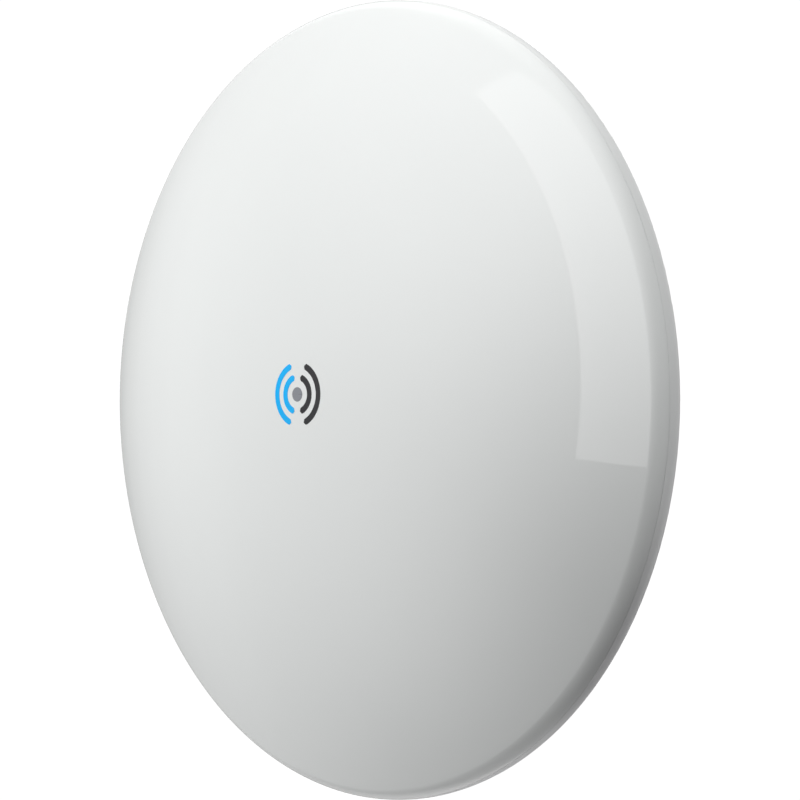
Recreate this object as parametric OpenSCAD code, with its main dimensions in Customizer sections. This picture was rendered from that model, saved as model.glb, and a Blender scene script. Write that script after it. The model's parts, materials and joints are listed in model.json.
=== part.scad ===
// Outdoor dish antenna with a domed cover, a built-in radio and a ball-joint pole clamp.
// Frame: +Z up, the dish looks along -Y, and the origin is the centre of the pole clamp.
// Head pieces are drawn about the dish's own axis: local +Z points forward out of the dish
// and local +Y points up. The plane of the widest circle is local z = 0.

/* [Dish] */
// Overall diameter of the head
rim_d = 189; // [187:0.5:191]
// Height of the domed cover in front of the widest circle
dome_rise = 32.8; // [32:0.2:34]
// Depth of the rear bowl behind the widest circle
bowl_depth = 35; // [34.6:0.2:35.4]
// Radius of the rounded rim in section
rim_round = 5.6; // [5.4:0.1:5.8]
// Wall thickness of the cover and the rear bowl
wall = 2; // [1.8:0.1:2.1]
// Visible gap between the cover and the rear bowl
seam_gap = 0.1; // [0.05:0.05:0.3]
// Depth of the metal reflector
reflector_depth = 28.5; // [28:0.1:28.6]
// Number of screws round the reflector's flange
reflector_screw_count = 8; // [6:1:12]

/* [Feed] */
// Outer radius of the feed tube
tube_r = 9; // [8.6:0.1:9]
// Front end of the feed tube, ahead of the widest circle
tube_front = 16.5; // [16:0.5:18]
// Radius of the small reflector in front of the feed
sub_r = 22; // [18:0.5:24]

/* [Hub] */
// Outer radius of the rear boss
boss_r = 36; // [36:0.1:37]
// Distance of the boss's rear face behind the widest circle
boss_back = 42; // [42:0.1:42.2]
// Half width of the cable bay under the boss
bay_half_w = 18; // [18:0.1:19]
// Distance of the cable bay's mouth below the dish axis
bay_drop = 46; // [46:0.1:46.4]

/* [Ball joint] */
// Radius of the ball
ball_r = 6.5; // [6.3:0.1:6.5]
// Air gap between the ball's curved surfaces
ball_gap = 0.3; // [0.3:0.01:0.35]
// Distance of the ball's centre behind the widest circle
ball_back = 45.5; // [45.4:0.1:45.6]

/* [Pole clamp] */
// Diameter of the pole
pole_d = 25.4; // [25.2:0.1:25.6]
// Distance from the widest circle to the pole's axis
pole_back = 70; // [70:0.1:70.4]
// Height of the bracket along the pole
bracket_h = 44; // [44:1:50]
// Height of each clamp band above and below the dish axis
band_offset = 14; // [13.5:0.5:15]
// Width of a clamp band
band_w = 8; // [7:0.5:8]

/* [Hidden] */
$fn = 96;
far = 300;
fit = 0.08;
over = 1;

rim_r = rim_d / 2;
round_r = rim_r - rim_round;
seam_z = 0.9;
cover_edge = seam_z + seam_gap / 2;
shell_edge = seam_z - seam_gap / 2;

// rim flange, tongue and seal
shelf_z = -2.8;
tongue_r = round_r + 0.7;
tongue_t = 2;
tongue_rear = -1.3;
tongue_front = 4.2;
seal_w = 1.4;
seal_h = 1.3;
flange_in = 84.5;
flange_out = round_r + 0.4;
sheet = 1;
flange_screw_r = 86.9;
pilot_r = 0.95;

// boss, cable bay and the circuit boards
boss_in = boss_r - 2;
floor_t = 2.2;
floor_z = -boss_back + floor_t;
boss_top = -27;
boss_round = 2.6;
boss_fillet = 4;
reflector_hole = boss_in - 0.4;
board_r = 32.6;
board_t = 1.6;
board_back = -27.6;
board_front = board_back + board_t;
post_xy = 19.8;
post_r = 3;
post_hole = 1.45;
post_clear = 1.7;
boss_wall_y = -28;
hub_out = 33;
hub_in = 31;
hub_front = -18;
hub_face_t = 2;
hub_seat_r = 3.1;
hub_seat = hub_front - 1.2;
bay_wall = 2;
bay_in = bay_half_w - bay_wall;
bay_round = 3.5;
bay_front = -24;
bay_top = -20;
jack_half_w = 8;
jack_bottom = -32.8;
jack_top = -12;
jack_back = -39.4;
port_half_w = 5.9;
port_front = -31.2;
port_back = -38.4;
button_x = 12.5;
button_z = -33.5;
button_r = 1.6;
switch_nose = -28.2;
led_x = [-9, -3, 3, 9];
led_y = 25;
guide_r = 1.2;
vent_x = 24;
vent_y = 5;
vent_r = 2.5;
chip_x = -18;
chip_half = 7;
chip_top = board_front + 1.2;
pad_top = chip_top + 0.5;

// bay door
door_t = 1.8;
door_top = -bay_drop - 0.2;
hinge_y = -bay_drop + 0.4;
hinge_z = -boss_back - 1.9;
hinge_r = 1.7;
hinge_pin_r = 0.8;
door_hinge_half = 9.7;
lug_in = 10;
lug_out = 16;
grommet_z = -35;
grommet_hole = 2.75;
grommet_neck = 4.35;

// ball joint
liner_in = ball_r + ball_gap;
liner_out = ball_r + 2.1;
cavity_r = liner_out + ball_gap;
socket_r = cavity_r + 2.1;
socket_flange_r = 19.5;
socket_flange_z = -boss_back - 2;
socket_end = -ball_back - 3;
socket_screw_xy = 12;
ring_r = 15;
ring_end = -ball_back - 5.4;
liner_half = 4.2;
neck_r = 3.2;

// pole clamp
pole_r = pole_d / 2;
pad_y = 14;
corner_r = 3.3;
rib = 1.2;
saddle_edge = 5.5;
band_t = 0.7;
worm_x = -17.8;
worm_r = 2.95;
worm_root = 2.3;
worm_front = -4.2;
worm_back = 5.2;
thread_pitch = 1.6;

// Radius of a sphere of the given rise that runs smoothly into the rounded rim
function cap_r(rise) = (pow(round_r, 2) + pow(rise, 2) - pow(rim_round, 2)) / (2 * (rise - rim_round));
// Angle from the axis at which the sphere meets the rounded rim
function cap_angle(rise) = asin(round_r / (cap_r(rise) - rim_round));
// Front surface of the reflector at radius r
function dish_z(r) = shelf_z + sheet - reflector_depth * (1 - pow(r / flange_in, 2));
// Rear surface of the small reflector at radius r
function sub_z(r) = tube_front + 4 * pow(max(r - tube_r, 0) / (sub_r - tube_r), 1.5);

// Places the head's own axis in the clamp's frame
module on_head() {
    translate([0, -pole_back, 0])
    rotate([90, 0, 0])
    children();
}

// Half section of a spherical face with a rounded rim, drawn inside the face by inset
module face_section(rise, inset) {
    a = cap_angle(rise);
    tip = [round_r + far * sin(a), far * cos(a)];
    intersection() {
        translate([0, rise - cap_r(rise)]) circle(cap_r(rise) - inset, $fn = 360);
        polygon([[0, 0], [round_r, 0], tip, [0, tip[1]]]);
    }
    intersection() {
        translate([round_r, 0]) circle(rim_round - inset);
        polygon([[round_r, 0], [round_r + far, 0], [round_r + far, tip[1]], tip]);
    }
}

// Half section of the whole closed head
module head_section(inset) {
    face_section(dome_rise, inset);
    mirror([0, 1]) face_section(bowl_depth, inset);
}

module shell_section() {
    difference() {
        head_section(0);
        head_section(wall);
    }
}

// A cylinder along local Y between two heights
module y_rod(x, z, r, y0, y1) {
    translate([x, y0, z]) rotate([-90, 0, 0]) cylinder(h = y1 - y0, r = r);
}

// A cylinder along local X between two places
module x_rod(y, z, r, x0, x1) {
    translate([x0, y, z]) rotate([0, 90, 0]) cylinder(h = x1 - x0, r = r);
}

// A box between two opposite corners
module span(a, b) {
    translate(a) cube(b - a);
}

// A block extruded along local Y between two heights, with its two rear edges rounded
module round_block(half_w, rear, front, y0, y1, r) {
    translate([0, y0, 0]) rotate([-90, 0, 0]) linear_extrude(y1 - y0) {
        translate([-half_w, -front]) square([2 * half_w, front - rear - r]);
        translate([r - half_w, -front]) square([2 * (half_w - r), front - rear]);
        for (side = [-1, 1]) translate([side * (half_w - r), -rear - r]) circle(r);
    }
}

// Copies to the four corners of a square about the axis
module at_corners(xy) {
    for (sx = [-1, 1], sy = [-1, 1]) translate([sx * xy, sy * xy, 0]) children();
}

// A pan-head screw pointing along local -Z, with its head's seat at z = 0
module pan_screw(head_r, head_h, shank_r, length) {
    drive = head_r * 0.9;
    slot = head_r * 0.22;
    difference() {
        union() {
            rotate_extrude() polygon([[0, 0], [head_r, 0], [head_r, head_h * 0.5],
                [head_r * 0.72, head_h], [0, head_h]]);
            translate([0, 0, -length]) cylinder(h = length, r = shank_r);
        }
        for (a = [0, 90]) rotate(a)
            span([-drive / 2, -slot, head_h * 0.45], [drive / 2, slot, head_h + over]);
    }
}

module radome() {
    color([0.87, 0.88, 0.89])
    on_head()
    rotate_extrude() {
        difference() {
            shell_section();
            translate([0, -far]) square([far, far + cover_edge]);
        }
        translate([tongue_r, tongue_rear]) square([tongue_t, tongue_front - tongue_rear]);
    }
}

module radome_gasket() {
    color([0.15, 0.15, 0.16])
    on_head()
    rotate_extrude()
    translate([tongue_r, shelf_z + 0.1]) square([seal_w, seal_h]);
}

module reflector() {
    steps = 28;
    front = [for (i = [0:steps]) let (r = reflector_hole + (flange_in - reflector_hole) * i / steps)
        [r, dish_z(r)]];
    back = [for (i = [steps:-1:0]) front[i] - [0, sheet]];
    flange = [[flange_out, shelf_z + sheet], [flange_out, shelf_z]];
    color([0.78, 0.79, 0.8])
    on_head()
    difference() {
        rotate_extrude() polygon(concat(front, flange, back));
        for (i = [0:reflector_screw_count - 1]) rotate(i * 360 / reflector_screw_count)
            translate([flange_screw_r, 0, shelf_z - over]) cylinder(h = sheet + 2 * over, r = 1.1);
    }
}

module reflector_screws() {
    color([0.7, 0.7, 0.72])
    on_head()
    for (i = [0:reflector_screw_count - 1]) rotate(i * 360 / reflector_screw_count)
        translate([flange_screw_r, 0, shelf_z + sheet]) pan_screw(1.9, 1.1, 0.9, 4);
}

// The bay's outer block, with the room inside it, behind the bowl and below the boss
module cable_bay() {
    difference() {
        round_block(bay_half_w, -boss_back, bay_front, -bay_drop, bay_top, bay_round);
        round_block(bay_in, -boss_back + bay_wall, bay_front + over, -bay_drop - over, bay_top + over,
            bay_round - bay_wall);
        translate([0, 0, -boss_back - over]) cylinder(h = far, r = boss_r - 1);
        translate([0, 0, cap_r(bowl_depth) - bowl_depth]) sphere(cap_r(bowl_depth) - 1, $fn = 360);
    }
}

// Half section of the boss, with a rounded rear edge
module boss_section() {
    difference() {
        union() {
            translate([0, boss_round - boss_back]) square([boss_r, boss_back + boss_top - boss_round]);
            translate([0, -boss_back]) square([boss_r - boss_round, boss_back + boss_top]);
            translate([boss_r - boss_round, boss_round - boss_back]) circle(boss_round);
        }
        translate([0, floor_z]) square([boss_in, far]);
    }
}

// Rounded corner where the bowl meets the boss, left out inside the cable bay
module boss_blend() {
    bowl = cap_r(bowl_depth);
    corner_x = boss_r + boss_fillet;
    corner_z = bowl - bowl_depth - sqrt(pow(bowl + boss_fillet, 2) - pow(corner_x, 2));
    touch = bowl / (bowl + boss_fillet);
    touch_z = bowl - bowl_depth - touch * (bowl - bowl_depth - corner_z);
    difference() {
        rotate_extrude()
        difference() {
            polygon([[boss_in + 0.5, corner_z], [corner_x, corner_z], [touch * corner_x, touch_z],
                [boss_in + 0.5, touch_z + 0.6]]);
            translate([corner_x, corner_z]) circle(boss_fillet + fit);
        }
        span([-bay_in, -bay_drop, -boss_back], [bay_in, bay_top, 0]);
    }
}

module hinge_lugs() {
    for (side = [-1, 1]) {
        x0 = side > 0 ? lug_in : -lug_out;
        difference() {
            union() {
                x_rod(hinge_y, hinge_z, hinge_r, x0, x0 + lug_out - lug_in);
                span([x0, -bay_drop, hinge_z], [x0 + lug_out - lug_in, -bay_drop + 2.1, -boss_back + over]);
            }
            x_rod(hinge_y, hinge_z, hinge_pin_r + 0.02, x0 - over, x0 + lug_out - lug_in + over);
        }
    }
}

module rear_shell() {
    color([0.87, 0.88, 0.89])
    on_head()
    difference() {
        union() {
            rotate_extrude() {
                difference() {
                    shell_section();
                    translate([0, shell_edge]) square([far, far]);
                    translate([0, -far]) square([boss_in, 2 * far]);
                }
                intersection() {
                    head_section(0.5);
                    translate([round_r - 3, shelf_z - 4]) square([5.4, 4]);
                }
                boss_section();
            }
            boss_blend();
            cable_bay();
            hinge_lugs();
            at_corners(post_xy) translate([0, 0, floor_z - 0.5])
                cylinder(h = board_back - floor_z + 0.5, r = post_r);
            at_corners(socket_screw_xy) translate([0, 0, floor_z - 0.5]) cylinder(h = 5, r = 2.6);
        }
        translate([0, 0, -boss_back - over]) cylinder(h = floor_t + 2 * over, r = socket_r + 0.2);
        at_corners(post_xy) translate([0, 0, board_back - 8]) cylinder(h = 8 + over, r = post_hole);
        at_corners(socket_screw_xy) translate([0, 0, -boss_back - over]) cylinder(h = 6, r = pilot_r);
        for (i = [0:reflector_screw_count - 1]) rotate(i * 360 / reflector_screw_count)
            translate([flange_screw_r, 0, shelf_z - 4.2]) cylinder(h = 4.2 + over, r = pilot_r);
        span([-port_half_w - 0.5, -boss_r - over, port_back - 0.4],
            [port_half_w + 0.5, boss_wall_y, port_front + 0.2]);
        y_rod(button_x, button_z, button_r + fit, -boss_r - over, boss_wall_y);
        for (x = led_x) translate([x, led_y, -boss_back - over])
            cylinder(h = floor_t + 2 * over, r = guide_r + 0.1);
        translate([vent_x, vent_y, -boss_back - over]) cylinder(h = floor_t + 2 * over, r = vent_r + 0.1);
    }
}

module feed_hub() {
    boss = 3.4;
    collar = 2;
    color([0.86, 0.87, 0.88])
    on_head()
    difference() {
        union() {
            rotate_extrude() {
                polygon([[0, hub_front - hub_face_t], [hub_in, hub_front - hub_face_t],
                    [hub_in, board_front], [hub_out, board_front], [hub_out, hub_front - 2.5],
                    [hub_out - 2.5, hub_front], [0, hub_front]]);
                translate([0, hub_front - 0.5]) square([tube_r + 0.1 + collar, 4.5]);
            }
            at_corners(post_xy) translate([0, 0, board_front])
                cylinder(h = hub_front - board_front - 0.5, r = boss);
        }
        translate([0, 0, hub_front]) cylinder(h = 10, r = tube_r + 0.1);
        translate([0, 0, hub_front - 5]) cylinder(h = 10, r = tube_r - 1.2);
        at_corners(post_xy) translate([0, 0, board_front - over]) cylinder(h = 12, r = post_clear);
        at_corners(post_xy) translate([0, 0, hub_seat]) cylinder(h = 5, r = hub_seat_r);
    }
}

module hub_screws() {
    color([0.7, 0.7, 0.72])
    on_head()
    at_corners(post_xy) translate([0, 0, hub_seat]) pan_screw(2.8, 2, 1.4, 15.5);
}

module feed_tube() {
    bore = tube_r - 1.4;
    color([0.9, 0.9, 0.88])
    on_head()
    translate([0, 0, hub_front])
    difference() {
        cylinder(h = tube_front - hub_front, r = tube_r);
        translate([0, 0, -over]) cylinder(h = far, r = bore);
    }
}

module feed_board() {
    half_w = 6.5;
    half_t = 0.6;
    color([0.12, 0.42, 0.25])
    on_head()
    span([-half_w, -half_t, -22], [half_w, half_t, 12]);
}

module feed_header() {
    color([0.12, 0.12, 0.13])
    on_head()
    span([-7.5, -2, board_front], [7.5, 2, -22]);
}

module subreflector() {
    steps = 12;
    hole = 3.1;
    thick = 1.2;
    rear = [for (i = [0:steps]) let (r = hole + (sub_r - hole) * i / steps) [r, sub_z(r)]];
    front = [for (i = [steps:-1:0]) rear[i] + [0, thick]];
    color([0.8, 0.8, 0.82])
    on_head()
    rotate_extrude()
    polygon(concat(rear, front));
}

module feed_cap() {
    plug_r = tube_r - 1.5;
    color([0.9, 0.9, 0.88])
    on_head()
    rotate_extrude()
    polygon([[0, tube_front - 3.5], [plug_r, tube_front - 3.5], [plug_r, tube_front], [3, tube_front],
        [3, tube_front + 1.25], [7, tube_front + 1.25], [7, tube_front + 2.6], [6.4, tube_front + 3.2],
        [0, tube_front + 3.2]]);
}

module main_board() {
    color([0.1, 0.38, 0.22])
    on_head()
    difference() {
        translate([0, 0, board_back]) cylinder(h = board_t, r = board_r);
        at_corners(post_xy) translate([0, 0, board_back - over])
            cylinder(h = board_t + 2 * over, r = post_clear);
    }
}

module rf_shield() {
    color([0.75, 0.76, 0.77])
    on_head()
    difference() {
        span([9, -11, board_front], [27, 11, board_front + 3.6]);
        span([9.3, -10.7, board_front - over], [26.7, 10.7, board_front + 3.3]);
        for (x = [12:3:24], y = [-8, 8]) translate([x, y, board_front]) cylinder(h = 5, r = 0.6);
    }
}

module processor() {
    color([0.1, 0.1, 0.11])
    on_head()
    span([chip_x - chip_half, -chip_half, board_front], [chip_x + chip_half, chip_half, chip_top]);
}

module thermal_pad() {
    color([0.55, 0.65, 0.8])
    on_head()
    span([chip_x - chip_half, -chip_half, chip_top], [chip_x + chip_half, chip_half, pad_top]);
}

module heat_sink() {
    half = chip_half + 1;
    fins = 6;
    fin_pitch = 3;
    color([0.35, 0.36, 0.38])
    on_head()
    translate([chip_x, 0, pad_top]) {
        span([-half, -half, 0], [half, half, 1.3]);
        for (i = [0:fins - 1]) translate([0, fin_pitch * i - half, 0]) span([-half, 0, 1.2], [half, 1, 3.7]);
    }
}

module ethernet_jack() {
    color([0.76, 0.77, 0.79])
    on_head()
    difference() {
        span([-jack_half_w, jack_bottom, jack_back], [jack_half_w, jack_top, board_back]);
        span([-port_half_w, jack_bottom - over, port_back], [port_half_w, jack_bottom + 15, port_front]);
        span([-2, jack_bottom - over, jack_back - over], [2, jack_bottom + 9, port_back + over]);
    }
}

module jack_contacts() {
    contact_w = 0.4;
    color([0.85, 0.68, 0.3])
    on_head()
    for (i = [0:7]) translate([(i - 3.5) * 1.02 - contact_w / 2, jack_bottom + 3, port_front - 0.6])
        cube([contact_w, 11.9, 0.45]);
}

module magnetics() {
    color([0.12, 0.12, 0.13])
    on_head()
    span([13, -8, board_back - 3.9], [25, 8, board_back]);
}

module capacitors() {
    color([0.2, 0.22, 0.3])
    on_head()
    for (side = [-1, 1]) translate([-20, 6 * side, board_back - 9]) cylinder(h = 9, r = 4);
}

module status_leds() {
    color([0.95, 0.95, 0.9])
    on_head()
    for (x = led_x) span([x - 1, led_y - 0.6, board_back - 0.8], [x + 1, led_y + 0.6, board_back]);
}

module light_guide() {
    color([0.85, 0.92, 0.95])
    on_head() {
        for (x = led_x) translate([x, led_y, -boss_back - 0.3])
            cylinder(h = boss_back + 0.3 + board_back - 1, r = guide_r);
        span([led_x[0] - 2, led_y - 1.4, -33], [led_x[3] + 2, led_y + 1.4, -31]);
    }
}

module reset_switch() {
    half = 3.1;
    color([0.2, 0.2, 0.22])
    on_head() {
        span([button_x - half, switch_nose + 0.8, button_z - half],
            [button_x + half, switch_nose + 4.2, board_back]);
        y_rod(button_x, button_z, 1.2, switch_nose, switch_nose + 0.9);
    }
}

module reset_button() {
    color([0.3, 0.31, 0.33])
    on_head() {
        y_rod(button_x, button_z, button_r, -35.6, -30.2);
        y_rod(button_x, button_z, 2.4, -30.2, -29.5);
        y_rod(button_x, button_z, 0.9, -29.5, switch_nose - 0.7);
    }
}

module port_cover() {
    front_z = -28.2;
    rear_z = -boss_back + 0.1;
    tongue_x = bay_in - 2.1;
    color([0.87, 0.88, 0.89])
    on_head()
    difference() {
        union() {
            round_block(bay_half_w, rear_z, front_z, door_top - door_t, door_top, bay_round);
            span([-door_hinge_half, door_top - door_t, hinge_z],
                [door_hinge_half, hinge_y, -boss_back - 0.2]);
            span([-door_hinge_half, door_top - door_t, hinge_z],
                [door_hinge_half, door_top, rear_z + over]);
            x_rod(hinge_y, hinge_z, hinge_r, -door_hinge_half, door_hinge_half);
            for (side = [-1, 1]) translate([side * (tongue_x + 0.75), 0, 0])
                span([-0.75, door_top - 0.5, -36], [0.75, door_top + 3, -31]);
        }
        translate([0, 0, cap_r(bowl_depth) - bowl_depth]) sphere(cap_r(bowl_depth) + 0.5, $fn = 360);
        y_rod(0, grommet_z, grommet_neck + 0.05, door_top - door_t - over, door_top + over);
        x_rod(hinge_y, hinge_z, hinge_pin_r + fit, -door_hinge_half - over, door_hinge_half + over);
    }
}

module cover_hinge_pin() {
    color([0.72, 0.72, 0.74])
    on_head()
    x_rod(hinge_y, hinge_z, hinge_pin_r, -lug_out, lug_out);
}

module cable_grommet() {
    outer = door_top - door_t;
    color([0.13, 0.13, 0.14])
    on_head()
    translate([0, 0, grommet_z])
    rotate([-90, 0, 0])
    rotate_extrude()
    polygon([[grommet_hole, outer - 1.4], [5.1, outer - 1.4], [5.8, outer - 0.7], [5.8, outer],
        [grommet_neck, outer], [grommet_neck, door_top], [4.85, door_top], [4.85, door_top + 0.5],
        [3.9, door_top + 1.3], [grommet_hole, door_top + 1.3]]);
}

module vent_plug() {
    color([0.16, 0.16, 0.17])
    on_head()
    translate([vent_x, vent_y, 0])
    rotate_extrude()
    polygon([[0, -boss_back - 1.5], [3.6, -boss_back - 1.5], [4.3, -boss_back - 0.8], [4.3, -boss_back],
        [vent_r, -boss_back], [vent_r, floor_z + 1.2], [1.2, floor_z + 1.2], [1.2, floor_z],
        [0, floor_z]]);
}

module ball_socket() {
    slots = 6;
    color([0.86, 0.87, 0.88])
    on_head()
    difference() {
        rotate_extrude()
        difference() {
            union() {
                translate([0, socket_end]) square([socket_r, 14]);
                translate([0, socket_flange_z + 0.8]) square([socket_flange_r, 1.2]);
                translate([0, socket_flange_z]) square([socket_flange_r - 0.8, 2]);
                translate([socket_flange_r - 0.8, socket_flange_z + 0.8]) circle(0.8);
            }
            translate([0, -ball_back]) circle(cavity_r);
        }
        for (i = [0:slots - 1]) rotate(30 + i * 360 / slots)
            span([4, -0.6, socket_end - over], [socket_r + over, 0.6, socket_flange_z - 0.5]);
        at_corners(socket_screw_xy) translate([0, 0, socket_flange_z - over]) cylinder(h = 4, r = 1.1);
        at_corners(socket_screw_xy) translate([0, 0, socket_flange_z - 0.01])
            cylinder(h = 1.01, r1 = 2.1, r2 = 1.1);
    }
}

module socket_screws() {
    head_r = 2;
    color([0.7, 0.7, 0.72])
    on_head()
    at_corners(socket_screw_xy)
    translate([0, 0, socket_flange_z])
    difference() {
        rotate_extrude() polygon([[0, 0], [head_r, 0], [0.9, 1.1], [0.9, 6], [0, 6]]);
        for (a = [0, 90]) rotate(a) span([-head_r * 0.6, -0.28, -over], [head_r * 0.6, 0.28, 0.6]);
    }
}

module lock_ring() {
    grips = 18;
    ring_top = socket_flange_z - 0.3;
    color([0.45, 0.47, 0.49])
    on_head()
    difference() {
        rotate_extrude()
        difference() {
            polygon([[6, ring_top], [ring_r, ring_top], [ring_r, ring_end + 2.6], [9.4, ring_end],
                [6, ring_end]]);
            translate([0, socket_end - 0.2]) square([socket_r + 0.3, 10]);
            translate([0, -ball_back]) circle(cavity_r + 0.1);
        }
        for (i = [0:grips - 1]) rotate(i * 360 / grips)
            translate([ring_r + 0.7, 0, ring_end - over]) cylinder(h = 12, r = 1.3);
    }
}

module ball_liner() {
    color([0.2, 0.2, 0.22])
    on_head()
    translate([0, 0, -ball_back])
    difference() {
        rotate_extrude()
        intersection() {
            difference() {
                circle(liner_out);
                circle(liner_in);
            }
            translate([0, -liner_half]) square([liner_out + over, 2 * liner_half]);
        }
        span([0, -0.6, -liner_half - over], [liner_out + over, 0.6, liner_half + over]);
    }
}

module ball_stud() {
    foot_r = 6;
    foot_back = -pole_r - 0.2;
    color([0.72, 0.73, 0.75]) {
        translate([0, ball_back - pole_back, 0]) sphere(ball_r);
        translate([0, ball_back - pole_back, 0]) rotate([-90, 0, 0])
            cylinder(h = pole_back - ball_back + foot_back, r = neck_r);
        translate([0, foot_back - 1.3, 0]) rotate([-90, 0, 0]) cylinder(h = 1.3, r = foot_r);
    }
}

// Outline round the pole and the bracket's flat front, grown outwards by g
module wrap(g) {
    circle(pole_r + g);
    translate([-pole_r - g, corner_r - pad_y]) square([2 * (pole_r + g), pad_y - corner_r]);
    translate([corner_r - pole_r, -pad_y - g]) square([2 * (pole_r - corner_r), corner_r + g + 0.5]);
    for (side = [-1, 1]) translate([side * (pole_r - corner_r), corner_r - pad_y]) circle(corner_r + g);
}

// Copies to the heights of the two clamp bands
module at_bands() {
    for (side = [-1, 1]) translate([0, 0, side * band_offset]) children();
}

module pole_bracket() {
    groove = band_w + 0.4;
    color([0.86, 0.87, 0.88])
    difference() {
        translate([0, 0, -bracket_h / 2]) linear_extrude(bracket_h)
        difference() {
            wrap(rib);
            translate([-far / 2, -saddle_edge]) square(far);
        }
        translate([0, 0, -bracket_h]) cylinder(h = 2 * bracket_h, r = pole_r);
        at_bands() translate([0, 0, -groove / 2]) linear_extrude(groove)
        difference() {
            square(4 * pole_r, center = true);
            wrap(0);
        }
        translate([0, -pad_y - 2, 0]) rotate([-90, 0, 0]) cylinder(h = 10, r = neck_r + 0.02);
        translate([0, -pole_r - 1.52, 0]) rotate([-90, 0, 0]) cylinder(h = 10, r = 6.02);
    }
}

module clamp_bands() {
    color([0.76, 0.77, 0.79])
    at_bands() translate([0, 0, -band_w / 2]) linear_extrude(band_w) {
        difference() {
            wrap(0.05 + band_t);
            wrap(0.05);
        }
        translate([-pole_r - 0.05 - 2 * band_t, -13]) square([band_t + 0.1, 8]);
    }
}

// Stamped screw housing of one clamp band
module band_housing() {
    front = worm_front - 0.8;
    back = worm_back - 0.2;
    body_r = worm_r + 0.9;
    inner_x = -pole_r - 0.05 - band_t;
    difference() {
        translate([0, back, 0]) rotate([90, 0, 0]) linear_extrude(back - front) {
            translate([worm_x, 0]) circle(body_r);
            translate([worm_x, -body_r]) square([inner_x - 0.3 - worm_x, 2 * body_r]);
        }
        translate([worm_x, worm_front - 0.1, 0]) rotate([-90, 0, 0]) cylinder(h = far, r = worm_r + fit);
    }
    for (side = [-1, 1]) translate([inner_x - 0.6, front, side * (band_w / 2 + 0.5) - 0.3])
        cube([1.3, -front, 0.6]);
    for (side = [-1, 1]) translate([inner_x - 0.9, front, side > 0 ? body_r - 0.5 : -band_w / 2 - 0.8])
        cube([0.6, -front, band_w / 2 + 1.3 - body_r]);
}

module band_housings() {
    color([0.74, 0.75, 0.77])
    at_bands() band_housing();
}

// Worm screw of a clamp band, with a slotted hexagonal head
module band_screw() {
    turns = floor((worm_back - worm_front) / thread_pitch);
    translate([worm_x, 0, 0])
    rotate([-90, 0, 0])
    difference() {
        union() {
            translate([0, 0, worm_front]) cylinder(h = worm_back - worm_front + 1, r = worm_root);
            for (i = [0:turns - 1]) translate([0, 0, worm_front + (i + 0.2) * thread_pitch])
                cylinder(h = thread_pitch * 0.5, r = worm_r);
            translate([0, 0, worm_back + 0.6]) cylinder(h = 0.8, r = 4);
            translate([0, 0, worm_back + 1.3]) cylinder(h = 3.6, r = 4.04, $fn = 6);
        }
        span([-5, -0.5, worm_back + 3.6], [5, 0.5, worm_back + 6]);
    }
}

module upper_band_screw() {
    color([0.72, 0.72, 0.74])
    translate([0, 0, band_offset]) band_screw();
}

module lower_band_screw() {
    color([0.72, 0.72, 0.74])
    translate([0, 0, -band_offset]) band_screw();
}

radome();
radome_gasket();
reflector();
reflector_screws();
rear_shell();
feed_hub();
hub_screws();
feed_tube();
feed_board();
feed_header();
subreflector();
feed_cap();
main_board();
rf_shield();
processor();
thermal_pad();
heat_sink();
ethernet_jack();
jack_contacts();
magnetics();
capacitors();
status_leds();
light_guide();
reset_switch();
reset_button();
port_cover();
cover_hinge_pin();
cable_grommet();
vent_plug();
ball_socket();
socket_screws();
lock_ring();
ball_liner();
ball_stud();
pole_bracket();
clamp_bands();
band_housings();
upper_band_screw();
lower_band_screw();
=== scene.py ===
"""Looks for an outdoor dish antenna with a domed cover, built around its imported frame."""

import json
import math

import bmesh
import bpy
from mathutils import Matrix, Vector


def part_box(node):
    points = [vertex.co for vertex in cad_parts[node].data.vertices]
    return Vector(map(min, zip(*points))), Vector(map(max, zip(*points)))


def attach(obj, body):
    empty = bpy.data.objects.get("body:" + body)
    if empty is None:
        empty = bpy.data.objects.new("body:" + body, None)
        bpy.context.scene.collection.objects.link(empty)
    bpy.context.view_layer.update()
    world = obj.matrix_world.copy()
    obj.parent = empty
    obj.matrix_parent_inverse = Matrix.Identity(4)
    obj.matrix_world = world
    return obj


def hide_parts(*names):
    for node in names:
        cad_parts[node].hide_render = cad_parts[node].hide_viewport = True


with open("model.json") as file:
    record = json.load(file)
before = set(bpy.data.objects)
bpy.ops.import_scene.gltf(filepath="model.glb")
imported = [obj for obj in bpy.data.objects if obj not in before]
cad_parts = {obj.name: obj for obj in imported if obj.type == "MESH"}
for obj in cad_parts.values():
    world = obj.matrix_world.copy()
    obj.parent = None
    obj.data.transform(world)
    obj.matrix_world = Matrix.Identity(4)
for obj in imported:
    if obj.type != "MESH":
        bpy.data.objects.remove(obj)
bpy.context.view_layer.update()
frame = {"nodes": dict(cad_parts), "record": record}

MM = 0.001
WELD = 0.0001 * MM                      # points closer together than this become one
nodes = frame["nodes"]
scene = bpy.context.scene

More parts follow.
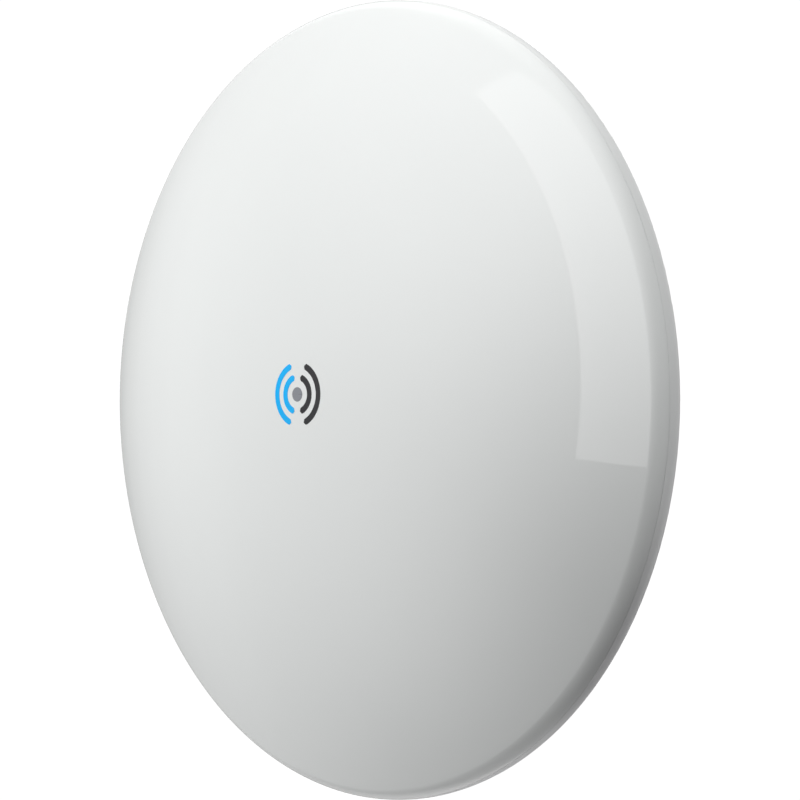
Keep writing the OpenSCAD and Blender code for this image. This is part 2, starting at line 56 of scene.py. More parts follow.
# ---------------------------------------------------------------- sizes and places, in metres
shell_lo, shell_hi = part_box("rear_shell")
cover_lo, cover_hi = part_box("radome")
RIM_R = 94.5 * MM                       # radius of the widest circle
SHELL_EDGE = 0.85 * MM                  # the rear shell's edge stands this far ahead of that circle
COVER_EDGE = 0.87 * MM                  # the cover's edge, the same way
RIM_Y = shell_lo.y + SHELL_EDGE         # plane of the widest circle
RIM_CENTRE = Vector((0, RIM_Y, 0))
RIM_ROUND = 5.6 * MM                    # radius of the rounded rim in section
RIM_C = RIM_R - RIM_ROUND               # radius to the centre of the rim's round
WALL = 2 * MM
PRINT_T = 0.04 * MM                     # thickness of the printed mark
RISE = RIM_Y - cover_lo.y - PRINT_T     # height of the dome, with room for the print
COVER_STEPS = 256                       # steps round the cover
CAP_STEPS = 72                          # steps along the section's outer cap, rim and seam edge
ROUND_STEPS = 24
EDGE_STEPS = 6
INNER_CAP_STEPS = 48                    # steps along the inner cap and round
INNER_ROUND_STEPS = 4
INNER_ROUND_START = 76.0                # degrees, just past the tongue
SEAM_EDGE = 0.08 * MM                   # rounding of the cover's edge at the seam
TONGUE_IN = RIM_C + 0.7 * MM            # inner and outer radius of the tongue that enters the shell
TONGUE_OUT = RIM_C + 2.7 * MM
TONGUE_DEPTH = 1.3 * MM                 # how far the tongue reaches behind the widest circle
TONGUE_CHAMFER = 0.1 * MM

MARK_CENTRE = (1.3 * MM, 1.2 * MM)      # across and above the dome's apex
MARK_DOT = 1.7 * MM                     # radius of the dot in the middle
MARK_LEAST = 0.02 * MM                  # radius of the smallest ring that makes up the dot
DOT_RINGS = 8
DOT_STEPS = 48
WAVE_RADII = (4.1 * MM, 7.0 * MM)
WAVE_WIDTH = 1.5 * MM
WAVE_HALF_ANGLE = 66.0
WAVE_STEPS = 40                         # steps along an arc
WAVE_ROWS = 5                           # points across an arc
WAVE_LEAST = 0.001 * MM                 # half width at the very tip of an arc

POLE_R = 12.7 * MM                      # radius of the pole that the clamp is made for
SADDLE_FRONT = 14 * MM                  # pole's axis to the bracket's flat front, where the bands lie
SADDLE_CORNER = 3.3 * MM
BAND_W = 8 * MM
BAND_T = 0.7 * MM
BAND_GAP = 0.05 * MM                    # air between a band and the pole
BAND_EDGE = 0.15 * MM                   # rounding of the band's edges
BAND_OFFSET = 14 * MM                   # height of each band above and below the dish's axis
BAND_STEPS = 52                         # steps round the pole's rear half
BAND_CORNER_STEPS = 8                   # steps round each corner of the bracket
BAND_SLOTS = 14                         # worm slots, one every second step
BAND_PLAIN = 8                          # steps from the screw's side to the first slot
BAND_SLOT_W = 4.6 * MM
TAIL_FRONT = -13.0 * MM                 # the overlapping end of each band lies between these two places
TAIL_BACK = -5.0 * MM
TAIL_BURY = 0.1 * MM                    # how far the overlapping end sinks into the band under it


# ---------------------------------------------------------------- mesh helpers
def new_piece(name, verts, faces, material, body, smooth_angle=30.0):
    """A piece with smooth shading, but sharp where its faces turn by more than smooth_angle."""
    mesh = bpy.data.meshes.new(name)
    mesh.from_pydata([tuple(v) for v in verts], [], faces)
    mesh.validate()
    bm = bmesh.new()
    bm.from_mesh(mesh)
    bmesh.ops.remove_doubles(bm, verts=bm.verts, dist=WELD)
    bmesh.ops.recalc_face_normals(bm, faces=bm.faces)
    limit = math.radians(smooth_angle)
    for face in bm.faces:
        face.smooth = True
    for edge in bm.edges:
        if len(edge.link_faces) == 2 and edge.calc_face_angle() > limit:
            edge.smooth = False
    bm.to_mesh(mesh)
    bm.free()
    piece = bpy.data.objects.new(name, mesh)
    scene.collection.objects.link(piece)
    piece.data.materials.append(material)
    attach(piece, body)
    return piece


def lathe(profile, segments):
    """Turns a closed outline of (radius, forward) points about the dish's axis."""
    verts, faces, rings = [], [], []
    for r, h in profile:
        if r < WELD:
            rings.append([len(verts)] * segments)
            verts.append(Vector((0, RIM_Y - h, 0)))
            continue
        ring = []
        for i in range(segments):
            a = 2 * math.pi * i / segments
            ring.append(len(verts))
            verts.append(Vector((r * math.cos(a), RIM_Y - h, r * math.sin(a))))
        rings.append(ring)
    for ring, after in zip(rings, rings[1:] + rings[:1]):
        for i in range(segments):
            j = (i + 1) % segments
            corners = list(dict.fromkeys([ring[i], ring[j], after[j], after[i]]))
            if len(corners) > 2:
                faces.append(corners)
    return verts, faces


def arc(cx, cy, r, a0, a1, n):
    """Points on a circle from angle a0 to a1, in degrees."""
    return [(cx + r * math.cos(math.radians(a0 + (a1 - a0) * i / n)),
             cy + r * math.sin(math.radians(a0 + (a1 - a0) * i / n))) for i in range(n + 1)]


def cap_radius(rise):
    """Radius of the sphere whose cap meets the rim's round smoothly and stands rise ahead of it."""
    return (RIM_C ** 2 + rise ** 2 - RIM_ROUND ** 2) / (2 * (rise - RIM_ROUND))


def cap_angle(rise):
    """Degrees from the sphere's pole to where the cap meets the rim's round."""
    return math.degrees(math.asin(RIM_C / (cap_radius(rise) - RIM_ROUND)))


def dome_height(r):
    """Forward height of the dome's outer face at radius r, for r inside the spherical part."""
    sphere_r = cap_radius(RISE)
    return RISE - sphere_r + math.sqrt(sphere_r * sphere_r - r * r)


# ---------------------------------------------------------------- materials
NOISE_LOW = 0.3                         # most of a noise texture lies between these two values
NOISE_HIGH = 0.7
WEAR_SCALE = 3.1                        # how much finer the roughness varies than the tone


def shader(name):
    mat = bpy.data.materials.new(name)
    mat.use_nodes = True
    tree = mat.node_tree
    return mat, tree, tree.nodes["Principled BSDF"]


def set_range(node, from_low, from_high, to_low, to_high):
    """Sets the four ends of a Map Range node."""
    node.inputs["From Min"].default_value = from_low
    node.inputs["From Max"].default_value = from_high
    node.inputs["To Min"].default_value = to_low
    node.inputs["To Max"].default_value = to_high


def noise(tree, scale, detail=2.0, stretch=(1, 1, 1)):
    """A noise texture that stays fixed to the piece."""
    coords = tree.nodes.new("ShaderNodeTexCoord")
    mapping = tree.nodes.new("ShaderNodeMapping")
    mapping.inputs["Scale"].default_value = stretch
    tree.links.new(coords.outputs["Object"], mapping.inputs["Vector"])
    tex = tree.nodes.new("ShaderNodeTexNoise")
    tex.inputs["Scale"].default_value = scale
    tex.inputs["Detail"].default_value = detail
    tree.links.new(mapping.outputs["Vector"], tex.inputs["Vector"])
    return tex


def spread(tree, source, low, high):
    """Maps the part of a noise texture between NOISE_LOW and NOISE_HIGH to low..high."""
    node = tree.nodes.new("ShaderNodeMapRange")
    set_range(node, NOISE_LOW, NOISE_HIGH, low, high)
    tree.links.new(source, node.inputs["Value"])
    return node.outputs["Result"]


def surface(name, color, rough, rough_var=0.03, tint=0.03, grain=900.0, bump=0.05, bump_mm=0.02,
            metallic=0.0, diffuse_rough=0.0, stretch=(1, 1, 1), cloud=25.0):
    """A moulded or worked surface: broad tone clouds, roughness variation and a fine grain."""
    mat, tree, bsdf = shader(name)
    tone = noise(tree, cloud, 3.0)
    ramp = tree.nodes.new("ShaderNodeValToRGB")
    ramp.color_ramp.elements[0].position = NOISE_LOW
    ramp.color_ramp.elements[1].position = NOISE_HIGH
    ramp.color_ramp.elements[0].color = (*[max(0.0, c * (1 - tint)) for c in color], 1)
    ramp.color_ramp.elements[1].color = (*[min(1.0, c * (1 + tint)) for c in color], 1)
    tree.links.new(tone.outputs["Fac"], ramp.inputs["Fac"])
    tree.links.new(ramp.outputs["Color"], bsdf.inputs["Base Color"])
    wear = noise(tree, cloud * WEAR_SCALE, 4.0, stretch=stretch)
    tree.links.new(spread(tree, wear.outputs["Fac"], rough - rough_var, rough + rough_var),
                   bsdf.inputs["Roughness"])
    fine = noise(tree, grain, 2.0, stretch=stretch)
    relief = tree.nodes.new("ShaderNodeBump")
    relief.inputs["Strength"].default_value = bump
    relief.inputs["Distance"].default_value = bump_mm * MM
    tree.links.new(fine.outputs["Fac"], relief.inputs["Height"])
    tree.links.new(relief.outputs["Normal"], bsdf.inputs["Normal"])
    bsdf.inputs["Metallic"].default_value = metallic
    bsdf.inputs["Diffuse Roughness"].default_value = diffuse_rough
    return mat


def slot_materials():
    return {
        "cover_plastic": surface("cover_gloss", (0.798, 0.812, 0.806), 0.03, 0.008, 0.006, 260, 0.02, 0.02,
                                 diffuse_rough=0.7),
        "shell_plastic": surface("shell_satin", (0.78, 0.792, 0.788), 0.36, 0.04, 0.01, 2600, 0.2, 0.02,
                                 diffuse_rough=0.7),
        "ring_plastic": surface("ring_satin", (0.23, 0.24, 0.26), 0.45, 0.05, 0.04, 2600, 0.25, 0.02),
        "feed_plastic": surface("feed_satin", (0.85, 0.85, 0.82), 0.4, 0.04, 0.02, 2000, 0.2, 0.02),
        "dark_plastic": surface("dark_moulding", (0.03, 0.03, 0.035), 0.5, 0.06, 0.1, 2600, 0.3, 0.02),
        "black_rubber": surface("rubber", (0.02, 0.02, 0.022), 0.7, 0.08, 0.15, 1800, 0.4, 0.03),
        "thermal_rubber": surface("thermal_rubber", (0.28, 0.4, 0.6), 0.75, 0.05, 0.05, 1500, 0.4, 0.03),
        "circuit_board": surface("solder_mask", (0.02, 0.16, 0.07), 0.35, 0.05, 0.15, 900, 0.2, 0.02),
        "dish_aluminium": surface("spun_aluminium", (0.8, 0.81, 0.82), 0.32, 0.06, 0.02, 900, 0.1, 0.01,
                                  metallic=1.0),
        "dark_aluminium": surface("anodised", (0.08, 0.085, 0.09), 0.4, 0.05, 0.1, 1200, 0.2, 0.01,
                                  metallic=0.6),
        "tin_plate": surface("tin_plate", (0.68, 0.69, 0.7), 0.28, 0.08, 0.05, 1200, 0.1, 0.01, metallic=1.0),
        "steel": surface("zinc_steel", (0.66, 0.66, 0.67), 0.34, 0.08, 0.05, 1500, 0.15, 0.01, metallic=0.7),
        "band_steel": surface("rolled_steel", (0.68, 0.68, 0.69), 0.26, 0.08, 0.04, 900, 0.2, 0.01,
                              metallic=0.7, stretch=(1, 1, 14)),
        "gold_contacts": surface("gold", (0.83, 0.62, 0.25), 0.2, 0.05, 0.04, 1200, 0.1, 0.01, metallic=1.0),
        "capacitor_sleeve": surface("sleeve", (0.03, 0.035, 0.08), 0.25, 0.05, 0.1, 1200, 0.1, 0.01),
        "led_lens": surface("led_lens", (0.85, 0.85, 0.75), 0.2, 0.05, 0.03, 1200, 0.1, 0.01),
        "clear_acrylic": surface("acrylic", (0.82, 0.88, 0.9), 0.25, 0.05, 0.02, 1800, 0.2, 0.01),
        "print_blue": surface("ink_blue", (0.0, 0.36, 0.76), 0.22, 0.03, 0.03, 2500, 0.1, 0.01),
        "print_black": surface("ink_black", (0.015, 0.015, 0.017), 0.22, 0.03, 0.1, 2500, 0.1, 0.01),
        "print_grey": surface("ink_grey", (0.2, 0.21, 0.23), 0.22, 0.03, 0.06, 2500, 0.1, 0.01),
    }


materials = slot_materials()

# Width in millimetres of the rounding on each hard-edged node that shows
SOFTENED = {"rear_shell": 0.12, "port_cover": 0.25, "ball_socket": 0.2, "lock_ring": 0.25,
            "pole_bracket": 0.35, "band_housings": 0.15, "upper_band_screw": 0.12, "lower_band_screw": 0.12,
            "cable_grommet": 0.2, "vent_plug": 0.25, "ball_stud": 0.15}
FLAT_ANGLE = 0.4                        # degrees, below which neighbouring faces count as one
BEVEL_ANGLE = 32.0                      # degrees, above which an edge is rounded
BEVEL_STEPS = 2


def dress_frame():
    """Gives every CAD node the material of its slot."""
    for row in frame["record"]["subparts"]:
        part = nodes[row["node"]]
        part.data.materials.clear()
        part.data.materials.append(materials[row["material_slot"]])


# ---------------------------------------------------------------- pieces
def domed_cover():
    """The glossy cover: a spherical cap, a rounded rim, a fine edge at the seam and a tongue inside."""
    sphere_r, cap_end = cap_radius(RISE), cap_angle(RISE)
    edge_r = RIM_ROUND - SEAM_EDGE
    edge_height = COVER_EDGE + SEAM_EDGE
    edge_x = math.sqrt(edge_r ** 2 - edge_height ** 2)
    edge_angle = math.degrees(math.asin(edge_height / edge_r))
    outer = arc(0, RISE - sphere_r, sphere_r, 90, 90 - cap_end, CAP_STEPS)
    outer += arc(RIM_C, 0, RIM_ROUND, 90 - cap_end, edge_angle, ROUND_STEPS)[1:]
    outer += arc(RIM_C + edge_x, edge_height, SEAM_EDGE, edge_angle, -90, EDGE_STEPS)[1:]
    inner_round = RIM_ROUND - WALL
    tongue = [(TONGUE_OUT, COVER_EDGE), (TONGUE_OUT, TONGUE_CHAMFER - TONGUE_DEPTH),
              (TONGUE_OUT - TONGUE_CHAMFER, -TONGUE_DEPTH), (TONGUE_IN, -TONGUE_DEPTH),
              (TONGUE_IN, math.sqrt(inner_round ** 2 - (TONGUE_IN - RIM_C) ** 2))]
    inner = arc(RIM_C, 0, inner_round, INNER_ROUND_START, 90 - cap_end, INNER_ROUND_STEPS)[1:]
    inner += arc(0, RISE - sphere_r, sphere_r - WALL, 90 - cap_end, 90, INNER_CAP_STEPS)[1:]
    verts, faces = lathe(outer + tongue + inner, COVER_STEPS)
    piece = new_piece("domed_cover", verts, faces, materials["cover_plastic"], "head")
    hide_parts("radome")


def on_dome(x, z, lift):
    """A point on the dome's face, x across and z above the dish's axis, lifted off it."""
    return Vector((x, RIM_Y - dome_height(math.hypot(x, z)) - lift, z))


def dome_patch(name, slot, rows):
    """A thin printed solid that lies on the dome. rows is a grid of (x, z) places."""
    top = [[on_dome(x, z, PRINT_T) for x, z in row] for row in rows]
    low = [[on_dome(x, z, -PRINT_T) for x, z in row] for row in rows]
    n, m = len(rows), len(rows[0])
    verts = [v for grid in (top, low) for row in grid for v in row]
    faces = []
    for layer in (0, 1):
        for i in range(n - 1):
            for j in range(m - 1):
                k = layer * n * m + i * m + j
                faces.append((k, k + 1, k + m + 1, k + m))
    rim = [(0, j) for j in range(m)] + [(i, m - 1) for i in range(1, n)]
    rim += [(n - 1, j) for j in range(m - 2, -1, -1)] + [(i, 0) for i in range(n - 2, -1, -1)]
    for (i0, j0), (i1, j1) in zip(rim, rim[1:]):
        a, b = i0 * m + j0, i1 * m + j1
        faces.append((a, b, b + n * m, a + n * m))
    new_piece(name, verts, faces, materials[slot], "head", smooth_angle=40)


def around(centre, radius, angle):
    """The place (x, z) at a radius and an angle from a centre, as seen from ahead."""
    return centre[0] + radius * math.cos(angle), centre[1] + radius * math.sin(angle)


def wave_arc(name, slot, radius, middle):
    """One arc of the mark, with round ends, centred on the angle middle."""
    half = math.radians(WAVE_HALF_ANGLE)
    tip = WAVE_WIDTH / 2 / radius
    rows = []
    for i in range(WAVE_STEPS + 1):
        turn = -half - tip + 2 * (half + tip) * i / WAVE_STEPS
        past = max(0.0, abs(turn) - half) / tip
        half_width = WAVE_WIDTH / 2 * math.sqrt(max(0.0, 1 - past * past)) + WAVE_LEAST
        rows.append([around(MARK_CENTRE, radius + half_width * (2 * j / (WAVE_ROWS - 1) - 1), middle + turn)
                     for j in range(WAVE_ROWS)])
    dome_patch(name, slot, rows)


def mark():
    """A generic radio-wave mark: a dot between two pairs of arcs."""
    for k, radius in enumerate(WAVE_RADII):
        wave_arc("mark_wave_left_%d" % k, "print_blue", radius, math.pi)
        wave_arc("mark_wave_right_%d" % k, "print_black", radius, 0.0)
    rings = []
    for i in range(DOT_RINGS):
        radius = max(MARK_LEAST, MARK_DOT * i / (DOT_RINGS - 1))
        rings.append([around(MARK_CENTRE, radius, 2 * math.pi * j / DOT_STEPS)
                      for j in range(DOT_STEPS + 1)])
    dome_patch("mark_dot", "print_grey", rings)


def band_path(grow):
    """The clamp band's outline at a distance from the pole, with True where a worm slot follows a point."""
    round_r = SADDLE_CORNER + grow
    corner = POLE_R - SADDLE_CORNER
    side = POLE_R + grow
    low = SADDLE_CORNER - SADDLE_FRONT
    path = []
    for i in range(BAND_STEPS):
        a = math.pi * (1 - i / BAND_STEPS)
        slot = BAND_PLAIN <= i < BAND_PLAIN + 2 * BAND_SLOTS and (i - BAND_PLAIN) % 2 == 0
        path.append((side * math.cos(a), side * math.sin(a), slot))
    path.append((side, 0, False))
    for middle, start in ((corner, 0), (-corner, -90)):
        path += [(x, y, False) for x, y in arc(middle, low, round_r, start, start - 90, BAND_CORNER_STEPS)]
    return path


def clamp_bands():
    """Two steel clamp bands with rolled edges, the worm's slots cut through them and overlapping ends."""
    outer, inner = band_path(BAND_GAP + BAND_T), band_path(BAND_GAP)
    trim_out, trim_in = band_path(BAND_GAP + BAND_T - BAND_EDGE), band_path(BAND_GAP + BAND_EDGE)
    half, cut = BAND_W / 2, BAND_SLOT_W / 2
    # one ring of points round the band's section, from the outer face over to the inner one
    section = [(trim_out, -half), (outer, BAND_EDGE - half), (outer, -cut), (outer, cut),
               (outer, half - BAND_EDGE), (trim_out, half), (trim_in, half), (inner, half - BAND_EDGE),
               (inner, cut), (inner, -cut), (inner, BAND_EDGE - half), (trim_in, -half)]
    out_low, out_high, in_high, in_low = 2, 3, 8, 9
    lap_out = -POLE_R - BAND_GAP - 2 * BAND_T
    lap_in = lap_out + BAND_T + TAIL_BURY
    verts, faces = [], []
    for height in (-BAND_OFFSET, BAND_OFFSET):
        base = len(verts)
        n, m = len(outer), len(section)
        for i in range(n):
            verts += [Vector((path[i][0], path[i][1], height + z)) for path, z in section]
        for i in range(n):
            here, after = base + i * m, base + (i + 1) % n * m
            slotted = outer[i][2]
            for j in range(m):
                k = (j + 1) % m
                if not (slotted and j in (out_low, in_high)):
                    faces.append((here + j, after + j, after + k, here + k))
            if slotted:
                for ring in (here, after):
                    faces.append((ring + out_low, ring + out_high, ring + in_high, ring + in_low))
                for a, b in ((out_low, in_low), (out_high, in_high)):
                    faces.append((here + a, after + a, after + b, here + b))
        base = len(verts)
        tail = [(lap_in, -half), (lap_in, half), (lap_out + BAND_EDGE, half), (lap_out, half - BAND_EDGE),
                (lap_out, BAND_EDGE - half), (lap_out + BAND_EDGE, -half)]
        n = len(tail)
        verts += [Vector((x, y, height + z)) for y in (TAIL_FRONT, TAIL_BACK) for x, z in tail]
        faces += [(base + j, base + (j + 1) % n, base + n + (j + 1) % n, base + n + j) for j in range(n)]
        faces += [tuple(range(base, base + n)), tuple(range(base + n, base + 2 * n))]
    piece = new_piece("clamp_band_pair", verts, faces, materials["band_steel"],
                      body_of("clamp_bands"))
    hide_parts("clamp_bands")


def body_of(node):
    """The moving body that a node belongs to."""
    for body, members in frame["record"]["behaviour"]["bodies"].items():
        if node in members:
            return body
    return "root"


def softened(node, width_mm):
    """A copy of a node with its hard edges rounded over, in place of the node."""
    source = nodes[node]
    mesh = source.data.copy()
    if "custom_normal" in mesh.attributes:
        mesh.attributes.remove(mesh.attributes["custom_normal"])
    bm = bmesh.new()
    bm.from_mesh(mesh)
    bmesh.ops.remove_doubles(bm, verts=bm.verts, dist=2 * WELD)
    bmesh.ops.dissolve_limit(bm, angle_limit=math.radians(FLAT_ANGLE), verts=bm.verts, edges=bm.edges)
    for face in bm.faces:
        face.smooth = True
    for edge in bm.edges:
        edge.smooth = True
    bm.to_mesh(mesh)
    bm.free()
    piece = bpy.data.objects.new(node + "_finish", mesh)
    scene.collection.objects.link(piece)
    bevel = piece.modifiers.new("edges", "BEVEL")
    bevel.width = width_mm * MM
    bevel.segments = BEVEL_STEPS
    bevel.limit_method = "ANGLE"
    bevel.angle_limit = math.radians(BEVEL_ANGLE)
    bevel.harden_normals = True
    bevel.use_clamp_overlap = True
    bevel.miter_outer = "MITER_ARC"
    graph = bpy.context.evaluated_depsgraph_get()
    finished = bpy.data.meshes.new_from_object(piece.evaluated_get(graph))
    piece.modifiers.clear()
    piece.data = finished
    slot = next(row["material_slot"] for row in frame["record"]["subparts"] if row["node"] == node)
    finished.materials.clear()
    finished.materials.append(materials[slot])
    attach(piece, body_of(node))
    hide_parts(node)


# ---------------------------------------------------------------- stage, camera and light
VIEW_AZIMUTH = 47.0                     # degrees round from straight ahead, and up
VIEW_ELEVATION = -0.3
CAMERA_DISTANCE = 4.0
CAMERA_REACH = 60.0                     # the camera sees this far
SENSOR = 36.0
FRAME_SPAN = 189.05 * MM                # width of the picture at the rim's plane
FLOOR_RADIUS = 0.3
FLOOR_Z = -1.0                          # the floor lies this far below the dish's axis
FLOOR_STEPS = 128
BACKGROUND = 1.05                       # the plain white that only the camera sees

# The bright strip that the card's reflection makes down the right of the dome, as seen from ahead.
# Both edges are arcs, with angles in degrees up from the right.
STRIP_INNER_CENTRE = (-3.6 * MM, 2.5 * MM)
STRIP_INNER_R = 81.15 * MM
STRIP_INNER_ENDS = (-11.7, 58.6)
STRIP_OUTER_CENTRE = (0.0, 0.0)
STRIP_OUTER_R = 92.9 * MM
STRIP_OUTER_ENDS = (-10.0, 58.4)
STRIP_CORNER = 2.6 * MM                 # how far the outer edge is drawn in at its upper end
STRIP_CORNER_SPAN = 0.2                 # part of the strip's length over which that happens
CARD_DISTANCE = 2.0                     # from the dome to the card, along the reflected ray
CARD_ROWS = 50
CARD_COLUMNS = 4
CARD_LOW = 1.6                          # strength of the card's light below CARD_FOOT
CARD_HIGH = 1.0                         # and above CARD_SHOULDER
CARD_FOOT = 0.1                         # heights between which the light goes from one to the other
CARD_SHOULDER = 1.25

# Lights. Directions are to the right, up and towards the camera, about the rim's centre.
# Broad glows of the room: the way each comes from, how narrow it is, and its strength
ROOM_GLOWS = [((0.10, -0.81, -0.58), 6, 1.58), ((-0.82, 0.31, 0.48), 6, 1.92),
              ((-0.87, -0.42, 0.28), 12, 0.92)]
NEUTRAL = (1.0, 1.0, 1.0)
MAUVE = (1.0, 0.93, 0.99)
# Name, direction, distance in metres, size in metres, power in watts, colour, shows in reflections
SOFTBOXES = [("key", (-0.82, 0.57, 0.0), 2.2, 0.8, 45.5, NEUTRAL, False),
             ("top", (0.61, 0.71, 0.35), 1.0, 0.5, 7.9, NEUTRAL, False),
             ("rim", (0.71, -0.57, -0.41), 0.45, 0.3, 0.5, MAUVE, False),
             ("rear_high", (0.15, 0.6, -0.78), 2.2, 3.0, 12.0, NEUTRAL, True),
             ("rear_low", (0.0, -0.6, -0.8), 2.2, 2.0, 4.0, NEUTRAL, True)]


def view_axes():
    """Unit vectors to the right, up and towards the camera in the main view."""
    turn, lift = math.radians(VIEW_AZIMUTH), math.radians(VIEW_ELEVATION)
    back = Vector((math.sin(turn) * math.cos(lift), -math.cos(turn) * math.cos(lift), math.sin(lift)))
    right = Vector((math.cos(turn), math.sin(turn), 0))
    return right, back.cross(right), back


def from_view(x, y, z):
    """A vector that goes x to the right, y up and z towards the camera."""
    right, up, back = view_axes()
    return right * x + up * y + back * z


def camera_place():
    """Far from the rim's centre, and moved sideways so that the outline sits in the middle."""
    half_width = RIM_C * math.cos(math.radians(VIEW_AZIMUTH)) + RIM_ROUND
    nearer_side = RIM_C * math.sin(math.radians(VIEW_AZIMUTH))
    return RIM_CENTRE + from_view(half_width * nearer_side / CAMERA_DISTANCE, 0, CAMERA_DISTANCE)


def place_camera():
    data = bpy.data.cameras.new("camera")
    data.sensor_width = SENSOR
    data.lens = SENSOR * CAMERA_DISTANCE / FRAME_SPAN
    data.clip_end = CAMERA_REACH
    camera = bpy.data.objects.new("camera", data)
    camera.location = camera_place()
    camera.rotation_mode = "QUATERNION"
    camera.rotation_quaternion = from_view(0, 0, -1).to_track_quat("-Z", "Y")
    scene.collection.objects.link(camera)
    scene.camera = camera


def softbox(name, direction, distance, size, power, colour):
    """An area light aimed at the dish."""
    toward = from_view(*direction).normalized()
    data = bpy.data.lights.new(name, "AREA")
    data.shape = "SQUARE"
    data.size = size
    data.energy = power
    data.color = colour
    lamp = bpy.data.objects.new(name, data)
    lamp.location = RIM_CENTRE + toward * distance
    lamp.rotation_mode = "QUATERNION"
    lamp.rotation_quaternion = toward.to_track_quat("Z", "Y")
    scene.collection.objects.link(lamp)
    return lamp


def glow(name, low, high, z_low, z_high):
    """Light that goes from low to high between two heights, added to whatever lies behind it."""
    mat = bpy.data.materials.new(name)
    mat.use_nodes = True
    tree = mat.node_tree
    tree.nodes.clear()
    out = tree.nodes.new("ShaderNodeOutputMaterial")
    emit = tree.nodes.new("ShaderNodeEmission")
    place = tree.nodes.new("ShaderNodeNewGeometry")
    split = tree.nodes.new("ShaderNodeSeparateXYZ")
    ramp = tree.nodes.new("ShaderNodeMapRange")
    set_range(ramp, z_low, z_high, low, high)
    tree.links.new(place.outputs["Position"], split.inputs["Vector"])
    tree.links.new(split.outputs["Z"], ramp.inputs["Value"])
    tree.links.new(ramp.outputs["Result"], emit.inputs["Strength"])
    see_through = tree.nodes.new("ShaderNodeBsdfTransparent")
    total = tree.nodes.new("ShaderNodeAddShader")
    tree.links.new(emit.outputs["Emission"], total.inputs[0])
    tree.links.new(see_through.outputs["BSDF"], total.inputs[1])
    tree.links.new(total.outputs["Shader"], out.inputs["Surface"])
    return mat


def stage_mesh(name, bm, material):
    mesh = bpy.data.meshes.new(name)
    bm.to_mesh(mesh)
    bm.free()
    obj = bpy.data.objects.new(name, mesh)
    scene.collection.objects.link(obj)
    obj.data.materials.append(material)
    return obj


def place_stage():
    """A small pale floor well below the dish, which adds no light and casts no shadow."""
    bm = bmesh.new()
    bmesh.ops.create_circle(bm, cap_ends=True, segments=FLOOR_STEPS, radius=FLOOR_RADIUS)
    floor = stage_mesh("floor", bm, surface("floor_paint", (0.9, 0.9, 0.9), 0.8, 0.05, 0.005, 60, 0.1, 0.2))
    floor.location = (0, 0, FLOOR_Z)
    floor.visible_diffuse = False
    floor.visible_glossy = False
    floor.visible_shadow = False


def mirrored(x, z):
    """The place that the camera sees mirrored at (x, z) on the dome, CARD_DISTANCE away from it."""
    point = on_dome(x, z, 0)
    sphere_centre = RIM_CENTRE - Vector((0, RISE - cap_radius(RISE), 0))
    normal = (point - sphere_centre).normalized()
    to_camera = (camera_place() - point).normalized()
    return point + (2 * normal.dot(to_camera) * normal - to_camera) * CARD_DISTANCE


def strip_edge(centre, radius, ends, along):
    """A corner of the card, for a place part of the way along one edge of the strip."""
    first, last = ends
    return mirrored(*around(centre, radius, math.radians(first + (last - first) * along)))


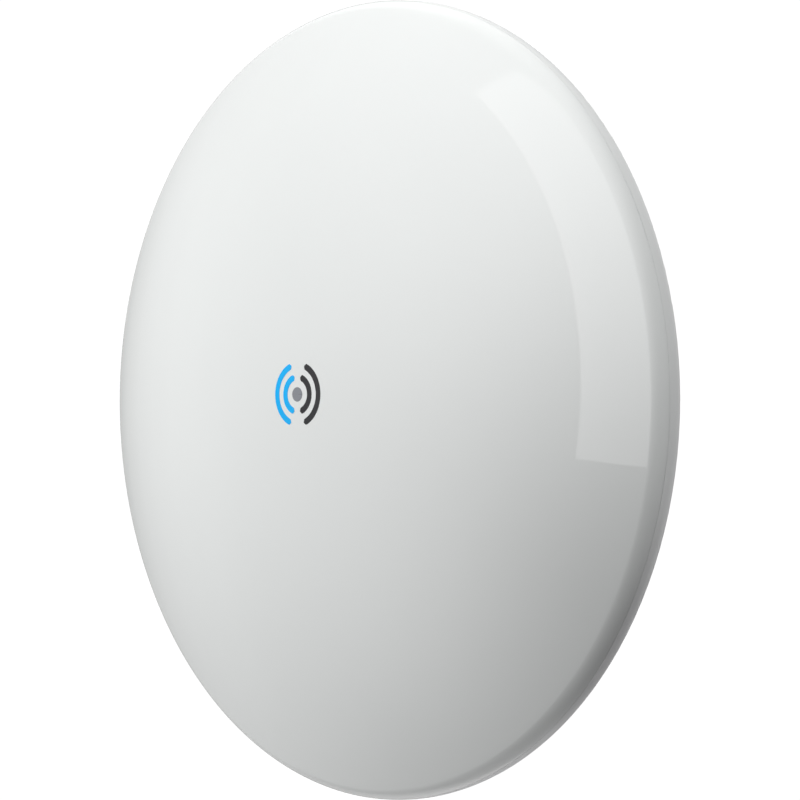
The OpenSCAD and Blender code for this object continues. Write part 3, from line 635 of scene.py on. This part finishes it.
def light_card():
    """The tall bent softbox whose reflection is the bright strip down the right of the dome."""
    bm = bmesh.new()
    rows = []
    for i in range(CARD_ROWS + 1):
        along = i / CARD_ROWS
        corner = max(0.0, 1 - (1 - along) / STRIP_CORNER_SPAN)
        outer_r = STRIP_OUTER_R - STRIP_CORNER * corner ** 2
        inner = strip_edge(STRIP_INNER_CENTRE, STRIP_INNER_R, STRIP_INNER_ENDS, along)
        outer = strip_edge(STRIP_OUTER_CENTRE, outer_r, STRIP_OUTER_ENDS, along)
        rows.append([bm.verts.new(inner.lerp(outer, j / CARD_COLUMNS)) for j in range(CARD_COLUMNS + 1)])
    for row, after in zip(rows, rows[1:]):
        for i in range(CARD_COLUMNS):
            bm.faces.new((row[i], row[i + 1], after[i + 1], after[i]))
    light = glow("card_light", CARD_LOW, CARD_HIGH, CARD_FOOT, CARD_SHOULDER)
    card = stage_mesh("light_card", bm, light)
    card.visible_camera = False


def place_lights():
    """The room's glows, a white background for the camera alone, the softboxes and the card."""
    world = bpy.data.worlds.new("studio")
    world.use_nodes = True
    tree = world.node_tree
    coords = tree.nodes.new("ShaderNodeTexCoord")
    total = None
    for direction, narrowness, strength in ROOM_GLOWS:
        dot = tree.nodes.new("ShaderNodeVectorMath")
        dot.operation = "DOT_PRODUCT"
        dot.inputs[1].default_value = from_view(*direction).normalized()
        tree.links.new(coords.outputs["Generated"], dot.inputs[0])
        level = dot.outputs["Value"]
        for operation, value in (("MAXIMUM", 0), ("POWER", narrowness), ("MULTIPLY", strength)):
            step = tree.nodes.new("ShaderNodeMath")
            step.operation = operation
            step.inputs[1].default_value = value
            tree.links.new(level, step.inputs[0])
            level = step.outputs["Value"]
        if total:
            both = tree.nodes.new("ShaderNodeMath")
            tree.links.new(total, both.inputs[0])
            tree.links.new(level, both.inputs[1])
            level = both.outputs["Value"]
        total = level
    room = tree.nodes["Background"]
    room.inputs["Color"].default_value = (1, 1, 1, 1)
    tree.links.new(total, room.inputs["Strength"])
    white = tree.nodes.new("ShaderNodeBackground")
    white.inputs["Color"].default_value = (1, 1, 1, 1)
    white.inputs["Strength"].default_value = BACKGROUND
    either = tree.nodes.new("ShaderNodeMixShader")
    ray = tree.nodes.new("ShaderNodeLightPath")
    tree.links.new(ray.outputs["Is Camera Ray"], either.inputs["Fac"])
    tree.links.new(room.outputs["Background"], either.inputs[1])
    tree.links.new(white.outputs["Background"], either.inputs[2])
    tree.links.new(either.outputs["Shader"], tree.nodes["World Output"].inputs["Surface"])
    scene.world = world
    for *settings, shows in SOFTBOXES:
        softbox(*settings).visible_glossy = shows
    light_card()
    scene.view_settings.view_transform = "Standard"


dress_frame()
domed_cover()
mark()
clamp_bands()
for node, width in SOFTENED.items():
    softened(node, width)
place_camera()
place_stage()
place_lights()
